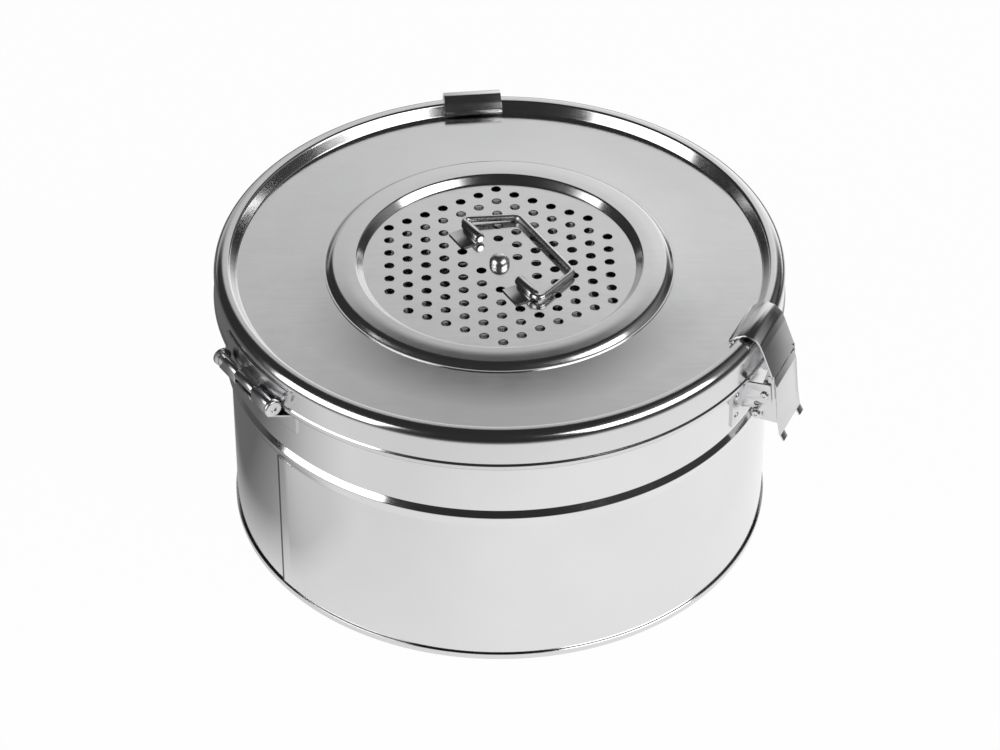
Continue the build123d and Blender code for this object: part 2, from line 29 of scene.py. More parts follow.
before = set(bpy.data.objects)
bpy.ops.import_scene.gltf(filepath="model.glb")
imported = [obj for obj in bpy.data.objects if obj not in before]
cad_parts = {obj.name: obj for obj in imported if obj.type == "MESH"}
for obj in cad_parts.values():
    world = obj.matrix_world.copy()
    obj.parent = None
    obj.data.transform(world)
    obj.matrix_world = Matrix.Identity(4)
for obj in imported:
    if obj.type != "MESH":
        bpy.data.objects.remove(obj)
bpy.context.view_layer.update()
MM = 0.001
plate_z = 171.4          # top of the flat lid plate, which most heights follow

# ---- camera ----
# A long lens looks down on the lid from the front, as a product photographer's does. The camera
# is level, and its axis passes close to the middle of the lid plate.
camera_place = (0.28, -1842.9, plate_z + 1389.2)
camera_down = 38.678     # degrees below the horizon
camera_lens = 137.42


def placed(name, data):
    """A new object in the scene."""
    made = bpy.data.objects.new(name, data)
    bpy.context.scene.collection.objects.link(made)
    return made


camera_data = bpy.data.cameras.new("camera")
camera_data.lens = camera_lens
camera_data.sensor_width = 36.0
camera_data.clip_end = 30.0
camera = placed("camera", camera_data)
camera.location = [value * MM for value in camera_place]
camera.rotation_euler = (radians(90.0 - camera_down), 0.0, 0.0)
bpy.context.scene.camera = camera
bpy.context.scene.view_settings.view_transform = "Standard"


# ---- studio ----
# A dark room with a white table, a lit white sheet behind it and a soft box at each side in front:
# steel shows little but its surroundings, and these make its bright walls and dark edges. In the
# steel the table is bright round the drum only; further out and at the back left it carries painted
# shade.
class Wire:
    """An output of a node. Arithmetic on it adds the Math nodes."""

    def __init__(self, paint, socket):
        self.paint = paint
        self.socket = socket

    def math(self, operation, other=0.0, reflected=False):
        """An operation on this output and another value, or on the value and this output."""
        first, second = (other, self) if reflected else (self, other)
        return self.paint.node("ShaderNodeMath", {"operation": operation}, {0: first, 1: second})

    def __add__(self, other):
        return self.math("ADD", other)

    def __sub__(self, other):
        return self.math("SUBTRACT", other)

    def __rsub__(self, other):
        return self.math("SUBTRACT", other, reflected=True)

    def __mul__(self, other):
        return self.math("MULTIPLY", other)

    __radd__ = __add__
    __rmul__ = __mul__

    def __abs__(self):
        return self.math("ABSOLUTE")

    def __lt__(self, other):
        return self.math("LESS_THAN", other)

    def __gt__(self, other):
        return self.math("GREATER_THAN", other)

    def at_least(self, other):
        return self.math("MAXIMUM", other)

    def at_most(self, other):
        return self.math("MINIMUM", other)

    def root(self):
        return self.math("SQRT")


def set_stops(elements, stops):
    """Give a colour ramp its (place, grey or colour) stops."""
    while len(elements) < len(stops):
        elements.new(1.0)
    for element, (place, tone) in zip(elements, stops):
        element.position = place
        element.color = (tone, tone, tone, 1.0) if isinstance(tone, float) else (*tone, 1.0)


class Paint:
    """A node tree that is being filled."""

    def __init__(self, owner):
        owner.use_nodes = True
        self.owner = owner
        self.tree = owner.node_tree
        self.tree.nodes.clear()

    def node(self, kind, settings=None, sockets=None, out=0):
        """Add a node, set its settings, then its sockets' values or links, and give one output."""
        made = self.tree.nodes.new(kind)
        for name, value in (settings or {}).items():
            if name == "stops":
                set_stops(made.color_ramp.elements, value)
            else:
                setattr(made, name, value)
        for name, value in (sockets or {}).items():
            if isinstance(value, Wire):
                self.tree.links.new(value.socket, made.inputs[name])
            else:
                made.inputs[name].default_value = value
        return Wire(self, made.outputs[out]) if made.outputs else made

    def split(self, vector):
        """The X, Y and Z of a vector."""
        made = self.node("ShaderNodeSeparateXYZ", None, {0: vector}).socket.node
        return [Wire(self, made.outputs[axis]) for axis in "XYZ"]

    def ramp(self, factor, stops):
        """A colour ramp from (place, grey or colour) stops."""
        return self.node("ShaderNodeValToRGB", {"stops": stops}, {0: factor})


sheet_light = [          # sine of the elevation, brightness of the lit sheet behind the drum
    (0.0, 1.0), (0.09, 0.96), (0.26, 0.89), (0.42, 0.85), (0.54, 0.81), (0.60, 0.78), (0.63, 0.71),
    (0.641, 0.56), (0.648, 0.34), (0.656, 0.18), (0.668, 0.08), (0.70, 0.04), (0.8, 0.025),
    (1.0, 0.025),
]
sheet_edge = 0.72        # half-width of the sheet at the horizon. It narrows upwards.
sheet_lean = 0.8
room_light = 0.03
world = bpy.data.worlds.new("studio")
bpy.context.scene.world = world
sky = Paint(world)
sky_place = sky.node("ShaderNodeTexCoord", out="Generated")
sky_side, sky_depth, sky_height = sky.split(sky_place)
sky_glow = sky.ramp(sky_height, sheet_light)
sky_slope = (sky_side * 1.5 + 1.0).at_least(0.55).at_most(1.3)
sky_reach = abs(sky_side) + sky_height * sheet_lean
sky_inside = sky.ramp(sky_reach, [(sheet_edge - 0.06, 1.0), (sheet_edge + 0.04, 0.0)])
sky_behind = sky.ramp(sky_depth + 0.5, [(0.5, 0.0), (0.7, 1.0)])
sky_rise = sky.ramp(sky_height, [(0.25, 0.05), (0.45, 1.0)])
sky_dim = (sky_side - 0.3).at_least(0.0) * sky_rise * 0.35 + room_light
sky_share = sky_inside * sky_behind
sky_total = sky_glow * sky_slope * sky_share + sky_dim * (1.0 - sky_share)
sky_light = sky.node("ShaderNodeBackground", None, {"Color": sky_total, "Strength": 1.0})
sky_white = sky.node("ShaderNodeBackground", None, {"Color": (1, 1, 1, 1), "Strength": 1.0})
sky_seen = sky.node("ShaderNodeLightPath", out="Is Camera Ray")
sky_mix = sky.node("ShaderNodeMixShader", None, {0: sky_seen, 1: sky_light, 2: sky_white})
sky.node("ShaderNodeOutputWorld", None, {"Surface": sky_mix})

floor_size = 12.0        # metres
floor_mesh = bpy.data.meshes.new("floor")
half = floor_size / 2
floor_mesh.from_pydata(
    [(-half, -half, 0), (half, -half, 0), (half, half, 0), (-half, half, 0)], [], [(0, 1, 2, 3)]
)
floor_plane = placed("floor", floor_mesh)
paper = Paint(bpy.data.materials.new("floor_paper"))
paper_diffuse = paper.node("ShaderNodeBsdfDiffuse", None, {"Color": (0.9, 0.9, 0.9, 1)})
paper_white = paper.node("ShaderNodeEmission", None, {"Color": (1, 1, 1, 1), "Strength": 1.0})
path_camera = paper.node("ShaderNodeLightPath", out="Is Camera Ray")
path_glossy = paper.node("ShaderNodeLightPath", out="Is Glossy Ray")
path_through = paper.node("ShaderNodeLightPath", out="Is Transmission Ray")
paper_x, paper_y = paper.split(paper.node("ShaderNodeTexCoord", out="Object"))[:2]
paper_share = paper.ramp(paper_x + 0.5, [(0.35, 0.80), (0.65, 0.96)])
seen = path_camera * 0.98 + (path_glossy + path_through) * paper_share
paper_mix = paper.node("ShaderNodeMixShader", None, {0: seen, 1: paper_diffuse, 2: paper_white})
paper_reach = (paper_x * paper_x + paper_y * paper_y).root()
# Painted shade on the table as the steel sees it: further from the drum, at the back left and at
# the left, a nearly black glow is mixed in for glossy and transmission rays.
paper_far = paper.ramp(
    paper_reach, [(0.28, 0.0), (0.42, 0.08), (0.55, 0.45), (0.75, 0.8), (1.0, 0.94)]
)
paper_left = paper.ramp(0.5 - paper_x, [(0.63, 0.0), (0.69, 1.0)])
paper_back = paper.ramp(paper_y + 0.5, [(0.28, 0.0), (0.38, 0.34), (0.44, 0.68), (0.5, 0.87)])
paper_side = paper.ramp(0.5 - paper_x, [(0.52, 0.0), (0.66, 0.08)])
paper_unlit = paper_far.at_least(paper_left * paper_back).at_least(paper_side)
# The nearly black glow that is the painted shade.
paper_painted_shade = paper.node("ShaderNodeEmission", None, {"Color": (1, 1, 1, 1), "Strength": 0.04})
paper_dim = paper_unlit * (path_glossy + path_through)
paper_all = paper.node("ShaderNodeMixShader", None, {0: paper_dim, 1: paper_mix, 2: paper_painted_shade})
paper.node("ShaderNodeOutputMaterial", None, {"Surface": paper_all})
floor_mesh.materials.append(paper.owner)


def soft_box(name, azimuth, elevation, distance, size, watts):
    """A rectangular lamp that points at the drum."""
    data = bpy.data.lights.new(name, "AREA")
    data.shape = "RECTANGLE"
    data.size, data.size_y = size
    data.energy = watts
    lamp = placed(name, data)
    level = distance * cos(radians(elevation))
    place = Vector((
        level * cos(radians(azimuth)), level * sin(radians(azimuth)),
        distance * sin(radians(elevation)),
    ))
    lamp.location = place
    lamp.rotation_euler = place.to_track_quat("Z", "Y").to_euler()
    lamp.visible_camera = False


soft_box("key_lamp", -32.0, 37.0, 2.2, (1.95, 1.15), 20.0)
soft_box("fill_lamp", -154.5, 22.0, 2.2, (1.75, 1.6), 20.0)


# ---- drum wall ----
# One rolled sheet of stainless steel. Its ends lap at a seam at the left, a bead stiffens it under
# the band that the fittings are fixed to, and its mouth is curled outwards under the lid's gasket.
wall_radius = 164.9
wall_sheet = 0.7
band_radius = 165.8
bead_radius = 168.2
mouth_z = 172.4
mouth_curl = 2.55
bead_heights = (104.5, 112.7, 117.1)   # foot, crest and top
seam_azimuth = -143.0
seam_step = 0.45         # the lapped end stands out this much, and runs out over the lap
lap_turn = 14.0          # degrees
seam_shade_width = 2.4     # width of the painted shade along the sheet's outer end, in the lap's gap
groove_depth = 0.5
groove_turn = 0.3
round_steps = 256


def rounded(points, radii, arc_step=12.0):
    """The points of a line with its corners rounded. A straight run gets a point near each of its
    ends, so that smooth shading stays flat along it."""
    points = [Vector(point) for point in points]
    reaches = [0.0]
    for before, corner, after, radius in zip(points, points[1:], points[2:], radii):
        turn = pi - (before - corner).angle(after - corner)
        reaches.append(radius * tan(turn / 2))
    reaches.append(0.0)
    guards = [
        min(0.5, 0.3 * ((second - first).length - near - far))
        for first, second, near, far in zip(points, points[1:], reaches, reaches[1:])
    ]
    line = [points[0]]
    for i in range(1, len(points) - 1):
        corner = points[i]
        inward = (points[i - 1] - corner).normalized()
        outward = (points[i + 1] - corner).normalized()
        turn = pi - inward.angle(outward)
        start = corner + inward * reaches[i]
        end = corner + outward * reaches[i]
        if turn > radians(5) and guards[i - 1] > 0.01:
            line.append(start + inward * guards[i - 1])
        if reaches[i] < 1e-4:
            line.append(corner)
        else:
            middle = (inward + outward).normalized()
            centre = corner + middle * (radii[i - 1] / cos(turn / 2))
            steps = max(2, int(degrees(turn) / arc_step) + 1)
            first = start - centre
            side = 1 if first.x * (end - centre).y - first.y * (end - centre).x > 0 else -1
            for k in range(steps + 1):
                line.append(centre + Matrix.Rotation(side * turn * k / steps, 2) @ first)
        if turn > radians(5) and guards[i] > 0.01:
            line.append(end + outward * guards[i])
    line.append(points[-1])
    return line


def arc(centre, radius, start, sweep, steps):
    """Points along an arc, from a start angle in degrees."""
    angles = [radians(start + sweep * i / steps) for i in range(steps + 1)]
    return [Vector((centre[0] + radius * cos(a), centre[1] + radius * sin(a))) for a in angles]


def sheet_outline(line, sheet):
    """The closed outline of a sheet of metal whose middle follows a line."""
    left, right = [], []
    for i, point in enumerate(line):
        back = line[max(i - 1, 0)]
        ahead = line[min(i + 1, len(line) - 1)]
        into = (point - back).normalized() if i > 0 else (ahead - point).normalized()
        onto = (ahead - point).normalized() if i < len(line) - 1 else into
        normal = Vector((-(into + onto).y, (into + onto).x)).normalized()
        stretch = 1.0 / max(0.5, normal.dot(Vector((-into.y, into.x))))
        left.append(point + normal * sheet / 2 * stretch)
        right.append(point - normal * sheet / 2 * stretch)
    return left + right[::-1]


def finished(mesh, name, body, finish, nodes=(), sharp=35.0):
    """Make a mesh one of the drum's pieces: smooth but for its sharp edges, painted, riding on a
    body, and standing for the CAD nodes that it shows better."""
    for polygon in mesh.polygons:
        polygon.use_smooth = True
    mesh.set_sharp_from_angle(angle=radians(sharp))
    mesh.materials.clear()
    mesh.materials.append(finish)
    piece = placed(name, mesh)
    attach(piece, body)
    if nodes:
        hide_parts(*nodes)
    return piece


def clean(work):
    """The mesh of a bmesh, with its doubled points merged and its faces turned outwards."""
    bmesh.ops.remove_doubles(work, verts=work.verts, dist=1e-7)
    bmesh.ops.recalc_face_normals(work, faces=work.faces)
    mesh = bpy.data.meshes.new("clean")
    work.to_mesh(mesh)
    work.free()
    return mesh


def skinned(rings, whole=False):
    """The mesh over closed rings of points, each joined to the next. The last one is joined to the
    first if the rings make a whole turn. Otherwise each end is flat."""
    work = bmesh.new()
    made = [[work.verts.new(point) for point in ring] for ring in rings]
    for one, two in list(zip(made, made[1:])) + ([(made[-1], made[0])] if whole else []):
        for i in range(len(one)):
            j = (i + 1) % len(one)
            work.faces.new((one[i], two[i], two[j], one[j]))
    if not whole:
        work.faces.new(made[0])
        work.faces.new(made[-1][::-1])
    return clean(work)


def spun(outline, start=0.0, sweep=360.0, steps=round_steps, push=None, extra=()):
    """The mesh that a closed outline of (distance, height) sweeps about the drum's axis. push moves
    a point outwards by an amount that depends on its azimuth and height, and extra lists more
    azimuths, in degrees from the start, to put a ring at."""
    whole = sweep >= 360.0
    turns = [sweep * i / steps for i in range(steps if whole else steps + 1)]
    rings = []
    for turn in sorted(turns + list(extra)):
        azimuth = start + turn
        c, s = cos(radians(azimuth)), sin(radians(azimuth))
        ring = []
        for point in outline:
            distance = point[0] + (push(azimuth, point) if push else 0.0)
            ring.append((distance * c * MM, distance * s * MM, point[1] * MM))
        rings.append(ring)
    return skinned(rings, whole)


def steel(name, tone, roughness, streaks, waviness, stretch, painted_shade=None):
    """Stainless steel: fine rolling streaks in the roughness, a little cloudiness in the colour,
    and a slight waviness of the sheet in the reflections. stretch squeezes the pattern's axes, and
    the last argument gives the share of each place that carries painted shade: drawn dark and made
    rough, from the paint and the place."""
    paint = Paint(bpy.data.materials.new(name))
    place = paint.node("ShaderNodeTexCoord", out="Object")
    grain_place = paint.node("ShaderNodeMapping", None, {"Vector": place, "Scale": stretch})
    grain = paint.node(
        "ShaderNodeTexNoise", None,
        {"Vector": grain_place, "Scale": 420.0, "Detail": 4.0, "Roughness": 0.6},
    )
    cloud = paint.node(
        "ShaderNodeTexNoise", None, {"Vector": place, "Scale": 14.0, "Detail": 3.0}
    )
    smudge = paint.node(
        "ShaderNodeTexNoise", None,
        {"Vector": place, "Scale": 55.0, "Detail": 5.0, "Roughness": 0.7},
    )
    colour = paint.ramp(
        cloud,
        [(0.25, tuple(value * 0.94 for value in tone)), (0.75, tone)],
    )
    rough = (grain - 0.5) * streaks + (smudge - 0.5) * (roughness * 0.6) + roughness
    # Painted shade: where the last argument gives a share, the colour is drawn towards near black
    # and the roughness is raised.
    if painted_shade:
        share = painted_shade(paint, place)
        colour = paint.node(
            "ShaderNodeMix", {"data_type": "RGBA"}, {0: share, 6: colour, 7: (0.05, 0.05, 0.05, 1)},
            out=2,
        )
        rough = rough + share * 0.35
    wave = paint.node(
        "ShaderNodeTexNoise", None, {"Vector": place, "Scale": 22.0, "Detail": 1.0}
    )
    height = wave * waviness + grain * (waviness * 0.02)
    bump = paint.node(
        "ShaderNodeBump", None, {"Strength": 0.6, "Distance": 0.001, "Height": height}
    )
    shader = paint.node(
        "ShaderNodeBsdfPrincipled", None,
        {"Base Color": colour, "Metallic": 1.0, "Roughness": rough, "Normal": bump},
    )
    paint.node("ShaderNodeOutputMaterial", None, {"Surface": shader})
    return paint.owner


def seam_gap_shade(paint, place):
    """Painted shade along the gap at the end of the wall's sheet."""
    x, y, z = paint.split(place)
    c, s = cos(radians(seam_azimuth)), sin(radians(seam_azimuth))
    thin = abs(x * s - y * c) < seam_shade_width / 2 * MM
    low = z < (bead_heights[0] - 0.5) * MM
    near_side = x * c + y * s > 0.0
    return thin * low * near_side * 0.85


# The wall's steel carries painted shade along the seam.
wall_steel = steel(
    "wall_steel", (0.80, 0.80, 0.805), 0.11, 0.06, 0.10, (1.0, 1.0, 0.04), painted_shade=seam_gap_shade
)


def lap(azimuth, point):
    """The outer end of the wall's sheet lies over the inner one, below the bead."""
    beyond = (azimuth - seam_azimuth) % 360.0
    if point[1] > bead_heights[0] - 1.0 or lap_turn < beyond < 360.01 - groove_turn:
        return 0.0
    if beyond > lap_turn:
        return -groove_depth
    return seam_step * (1.0 - beyond / lap_turn)


wall_mid = wall_radius - wall_sheet / 2
band_mid = band_radius - wall_sheet / 2
mouth_mid = mouth_z - wall_sheet / 2 - mouth_curl
wall_line = rounded(
    [
        (wall_mid, 0.9),
        (wall_mid, bead_heights[0]),
        (bead_radius - wall_sheet / 2, bead_heights[1]),
        (band_mid, bead_heights[2]),
        (band_mid, mouth_mid),
    ],
    [4.0, 1.2, 1.2],
)
wall_line += arc((band_mid + mouth_curl, mouth_mid), mouth_curl, 180.0, -270.0, 20)[1:]
drum_wall = spun(
    sheet_outline(wall_line, wall_sheet), start=seam_azimuth, steps=360, push=lap,
    extra=(360.0 - groove_turn, 360.05 - groove_turn, 359.95),
)
finished(drum_wall, "drum_wall", "drum", wall_steel, ["drum_shell"])

# ---- drum bottom ----
# A perforated plate set up off the shelf. Its edge is folded round the foot of the wall, and that
# fold, the chime, is what the drum stands on.
chime_radius = 166.1
chime_height = 4.0
chime_gap = 0.4          # between the wall and the fold inside it
bottom_sheet = 0.8
bottom_z = 6.0
hole_pitch = 12.818
hole_diameter = 6.2
hole_field = 77.5
hole_shade_field = 81.5     # holds the whole of every hole
top_hole_turn = 1.636
under_hole_turn = 5.5
stud_hole = 3.3
punch_depth = 3.0
punch_sides = 28
blind_spots = [          # (column, row) of the holes left out for the nut and the handle's brackets
    (-6, 6), (6, -6), (0, 0), (0, 2), (0, -2), (-1, -1), (1, 1), (-2, -6), (-2, -4), (-1, -7),
    (-1, -5), (-1, -3), (1, 3), (1, 5), (2, 4), (2, 6),
]


def hole_wall_shade(paint, place):
    """Painted shade on the walls of the punched holes: drawn dark, and rougher as sheared steel is.
    """
    x, y = paint.split(place)[:2]
    facing = paint.split(paint.node("ShaderNodeNewGeometry", out="True Normal"))[2]
    upright_face = abs(facing) < 0.3
    in_holes = (x * x + y * y).root() < hole_shade_field * MM
    return upright_face * in_holes * 0.8


# The plate steel carries painted shade on the walls of its holes.
plate_steel = steel(
    "plate_steel", (0.76, 0.76, 0.765), 0.15, 0.06, 0.06, (0.06, 1.0, 1.0), painted_shade=hole_wall_shade
)
bright_steel = steel("bright_steel", (0.80, 0.80, 0.805), 0.28, 0.05, 0.05, (1.0, 1.0, 1.0))


def hole_centres(turn):
    """Centres of the punched holes, a triangular pattern turned about the axis."""
    column = hole_pitch * sqrt(3) / 2
    row = hole_pitch / 2
    span = int(hole_field / row) + 1
    c, s = cos(radians(turn)), sin(radians(turn))
    centres = []
    for k in range(-span, span + 1):
        for m in range(-span, span + 1):
            x, y = k * column, -m * row
            if (k + m) % 2 == 0 and hypot(x, y) <= hole_field and (k, m) not in blind_spots:
                centres.append((x * c - y * s, x * s + y * c))
    return centres


def tree_with(name, inputs):
    """A new Geometry Nodes tree with a geometry in and out and the named inputs."""
    tree = bpy.data.node_groups.new(name, "GeometryNodeTree")
    tree.interface.new_socket("Geometry", in_out="INPUT", socket_type="NodeSocketGeometry")
    tree.interface.new_socket("Geometry", in_out="OUTPUT", socket_type="NodeSocketGeometry")
    for label, kind in inputs:
        tree.interface.new_socket(label, in_out="INPUT", socket_type=kind)
    return tree


def baked(mesh, tree, values):
    """Run a Geometry Nodes tree on a mesh and give the plain mesh that comes out."""
    holder = placed("holder", mesh)
    modifier = holder.modifiers.new("nodes", "NODES")
    modifier.node_group = tree
    sockets = {
        item.name: item.identifier
        for item in tree.interface.items_tree
        if item.in_out == "INPUT"
    }
    for label, value in values.items():
        modifier[sockets[label]] = value
    holder.update_tag()
    bpy.context.view_layer.update()
    graph = bpy.context.evaluated_depsgraph_get()
    result = bpy.data.meshes.new_from_object(holder.evaluated_get(graph))
    holder.modifiers.remove(modifier)
    bpy.data.objects.remove(holder)
    return result


def add_node(tree, kind, settings=None, values=None):
    """Add a geometry node, set its settings, and set or link its inputs."""
    made = tree.nodes.new(kind)
    for name, value in (settings or {}).items():
        setattr(made, name, value)
    for name, value in (values or {}).items():
        if isinstance(value, bpy.types.NodeSocket):
            tree.links.new(value, made.inputs[name])
        else:
            made.inputs[name].default_value = value
    return made


punch_tree = tree_with(
    "punched_holes",
    [
        ("Centres", "NodeSocketObject"), ("Hole radius", "NodeSocketFloat"),
        ("Depth", "NodeSocketFloat"), ("Sides", "NodeSocketInt"),
        ("Finish", "NodeSocketMaterial"),
    ],
)
punch_in = punch_tree.nodes.new("NodeGroupInput").outputs
centres_node = add_node(punch_tree, "GeometryNodeObjectInfo", None, {"Object": punch_in["Centres"]})
punch_node = add_node(
    punch_tree, "GeometryNodeMeshCylinder", {"fill_type": "NGON"},
    {
        "Vertices": punch_in["Sides"], "Radius": punch_in["Hole radius"],
        "Depth": punch_in["Depth"],
    },
)
place_node = add_node(
    punch_tree, "GeometryNodeInstanceOnPoints", None,
    {
        "Points": centres_node.outputs["Geometry"],
        "Instance": punch_node.outputs["Mesh"],
    },
)
punches_node = add_node(
    punch_tree, "GeometryNodeRealizeInstances", None,
    {"Geometry": place_node.outputs["Instances"]},
)
cut_node = add_node(
    punch_tree, "GeometryNodeMeshBoolean", {"operation": "DIFFERENCE", "solver": "EXACT"}
)
punch_tree.links.new(punch_in["Geometry"], cut_node.inputs["Mesh 1"])
punch_tree.links.new(punches_node.outputs["Geometry"], cut_node.inputs["Mesh 2"])
whole_node = add_node(
    punch_tree, "GeometryNodeRealizeInstances", None, {"Geometry": cut_node.outputs["Mesh"]}
)
paint_node = add_node(
    punch_tree, "GeometryNodeSetMaterial", None,
    {"Geometry": whole_node.outputs["Geometry"], "Material": punch_in["Finish"]},
)
punch_out = punch_tree.nodes.new("NodeGroupOutput")
punch_tree.links.new(paint_node.outputs["Geometry"], punch_out.inputs["Geometry"])


def punched(mesh, turn, height, finish):
    """The mesh with the hole pattern punched through it at a height."""
    points = bpy.data.meshes.new("hole_centres")
    points.from_pydata([(x * MM, y * MM, height * MM) for x, y in hole_centres(turn)], [], [])
    centres = placed("hole_centres", points)
    result = baked(
        mesh, punch_tree,
        {
            "Centres": centres, "Hole radius": hole_diameter / 2 * MM,
            "Depth": punch_depth * MM, "Sides": punch_sides, "Finish": finish,
        },
    )
    bpy.data.objects.remove(centres)
    return result


chime_mid = chime_radius - bottom_sheet / 2
chime_inner = wall_radius - wall_sheet - chime_gap - bottom_sheet / 2
bottom_line = rounded(
    [
        (stud_hole, bottom_z), (chime_inner, bottom_z), (chime_inner, bottom_sheet / 2),
        (chime_mid, bottom_sheet / 2), (chime_mid, chime_height),
    ],
    [1.5, 0.5, 0.5],
)
bottom_mesh = punched(
    spun(sheet_outline(bottom_line, bottom_sheet)), top_hole_turn, bottom_z, plate_steel
)
finished(bottom_mesh, "bottom_plate", "drum", plate_steel, ["drum_bottom"])
for node in ("bottom_filter_plate", "bottom_stud", "bottom_wing_nut"):
    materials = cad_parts[node].data.materials
    materials.clear()
    materials.append(bright_steel if node != "bottom_filter_plate" else plate_steel)

# ---- lid shell ----
# One pressed sheet: a perforated centre sunk under the filter cover, a flat plate that rises a
# little towards it, and the raised rim that turns over into the skirt and ends in a hem.
lid_sheet = 0.8
recess_depth = 2.2
recess_z = plate_z - lid_sheet / 2 - recess_depth
recess_radius = 84.5
cone_rise = 0.6
cover_radius = 106.0
rim_rise = 6.9
skirt_radius = 172.5
skirt_low = plate_z - 18.0
hem_height = 4.5
hem_bulge = 0.75
plate_mid = plate_z - lid_sheet / 2
skirt_mid = skirt_radius - lid_sheet / 2
lid_line = rounded(
    [
        (stud_hole, recess_z), (recess_radius, recess_z),
        (recess_radius + 4.0, plate_mid + cone_rise), (cover_radius, plate_mid + cone_rise),
        (123.0, plate_mid), (159.3, plate_mid), (163.2, plate_mid + rim_rise),
        (skirt_mid, plate_mid + rim_rise), (skirt_mid, skirt_low + hem_height),
        (skirt_mid + hem_bulge, skirt_low + hem_height * 0.7),
        (skirt_mid + hem_bulge, skirt_low + hem_height * 0.3), (skirt_mid, skirt_low),
    ],
    [1.0, 1.0, 30.0, 880.0, 1.5, 1.5, 6.0, 0.8, 0.8, 0.8],
    arc_step=7.0,
)
lid_mesh = punched(
    spun(sheet_outline(lid_line, lid_sheet)), under_hole_turn, recess_z, plate_steel
)
finished(lid_mesh, "lid_shell_sheet", "lid", plate_steel, ["lid_shell"])

# ---- lid gasket ----
# A silicone ring pressed into the channel under the rim. It shows when the lid is open.
gasket_low = mouth_z + 0.3        # clear of the mouth
gasket_outer = skirt_radius - lid_sheet - 0.8
gasket_width = 6.7
gasket_height = 4.3
rubber = Paint(bpy.data.materials.new("silicone"))
rubber_place = rubber.node("ShaderNodeTexCoord", out="Object")
rubber_speck = rubber.node(
    "ShaderNodeTexNoise", None, {"Vector": rubber_place, "Scale": 900.0, "Detail": 3.0}
)
rubber_colour = rubber.ramp(
    rubber_speck, [(0.3, (0.66, 0.64, 0.60)), (0.7, (0.74, 0.72, 0.68))]
)
rubber_bump = rubber.node(
    "ShaderNodeBump", None,
    {"Strength": 0.3, "Distance": 0.0001, "Height": rubber_speck},
)
rubber_shader = rubber.node(
    "ShaderNodeBsdfPrincipled", None,
    {
        "Base Color": rubber_colour, "Roughness": rubber_speck * 0.2 + 0.5,
        "Normal": rubber_bump,
    },
)
rubber.node("ShaderNodeOutputMaterial", None, {"Surface": rubber_shader})
gasket_points = [
    (gasket_outer - gasket_width / 2, gasket_low),
    (gasket_outer, gasket_low),
    (gasket_outer, gasket_low + gasket_height),
    (gasket_outer - gasket_width, gasket_low + gasket_height),
    (gasket_outer - gasket_width, gasket_low),
    (gasket_outer - gasket_width / 2, gasket_low),
]
gasket_line = rounded(gasket_points, [0.5, 3.7, 1.0, 0.5])
gasket_mesh = spun(gasket_line[:-1])
finished(gasket_mesh, "gasket_ring", "lid", rubber.owner, ["lid_gasket"])

# ---- filter cover ----
# The pressed and perforated cover over the lid's filter: a flat disc inside a raised ring, whose
# foot lies on the lid.
cover_sheet = 0.6
cover_mid = plate_z - cover_sheet / 2
cover_foot = plate_z + cone_rise + cover_sheet / 2
cover_line = rounded(
    [
        (stud_hole, cover_mid), (82.8, cover_mid), (86.8, cover_mid + 4.4),
        (93.5, cover_mid + 4.4), (101.6, cover_mid + 4.0), (104.8, cover_foot),
        (cover_radius, cover_foot),
    ],
    [1.0, 1.2, 100.0, 4.5, 1.0],
    arc_step=7.0,
)
cover_mesh = punched(
    spun(sheet_outline(cover_line, cover_sheet)), top_hole_turn, cover_mid, plate_steel
)
finished(cover_mesh, "filter_cover_sheet", "lid", plate_steel, ["filter_cover"])

# ---- filters ----
# A disc of woven cotton and the dished, perforated plate that clamps it under the lid, and the
# flat pair of them on the drum's bottom.
cloth_thickness = 1.0
cloth_clearance = 0.1
cloth_edge = plate_z + cone_rise - lid_sheet - cloth_clearance - cloth_thickness / 2
cloth_low = cloth_edge - 7.0
cloth_radius = 104.0
bottom_cloth_radius = 90.0
thread_pitch = 0.9
weave = Paint(bpy.data.materials.new("cotton_weave"))
weave_place = weave.node("ShaderNodeTexCoord", out="Object")
weave_scale = 2 * pi / (thread_pitch * MM) / 20.0
warp = weave.node(
    "ShaderNodeTexWave", {"wave_type": "BANDS", "bands_direction": "X"},
    {"Vector": weave_place, "Scale": weave_scale, "Distortion": 0.4, "Detail": 1.0}, out="Fac",
)
weft = weave.node(
    "ShaderNodeTexWave", {"wave_type": "BANDS", "bands_direction": "Y"},
    {"Vector": weave_place, "Scale": weave_scale, "Distortion": 0.4, "Detail": 1.0}, out="Fac",
)
slub = weave.node("ShaderNodeTexNoise", None, {"Vector": weave_place, "Scale": 260.0})
threads = warp * weft + slub * 0.3
weave_colour = weave.ramp(threads, [(0.0, (0.40, 0.39, 0.37)), (0.9, (0.70, 0.69, 0.66))])
weave_bump = weave.node(
    "ShaderNodeBump", None, {"Strength": 0.7, "Distance": 0.0003, "Height": threads}
)
weave_shader = weave.node(
    "ShaderNodeBsdfPrincipled", None,
    {"Base Color": weave_colour, "Roughness": 0.9, "Sheen Weight": 0.3, "Normal": weave_bump},
)
weave.node("ShaderNodeOutputMaterial", None, {"Surface": weave_shader})


def cloth_disc(name, body, line, node):
    """A round filter cloth under its plate, spun from a line."""
    mesh = spun(sheet_outline(line, cloth_thickness * 0.9), steps=96)
    piece = finished(mesh, name, body, weave.owner, [node])


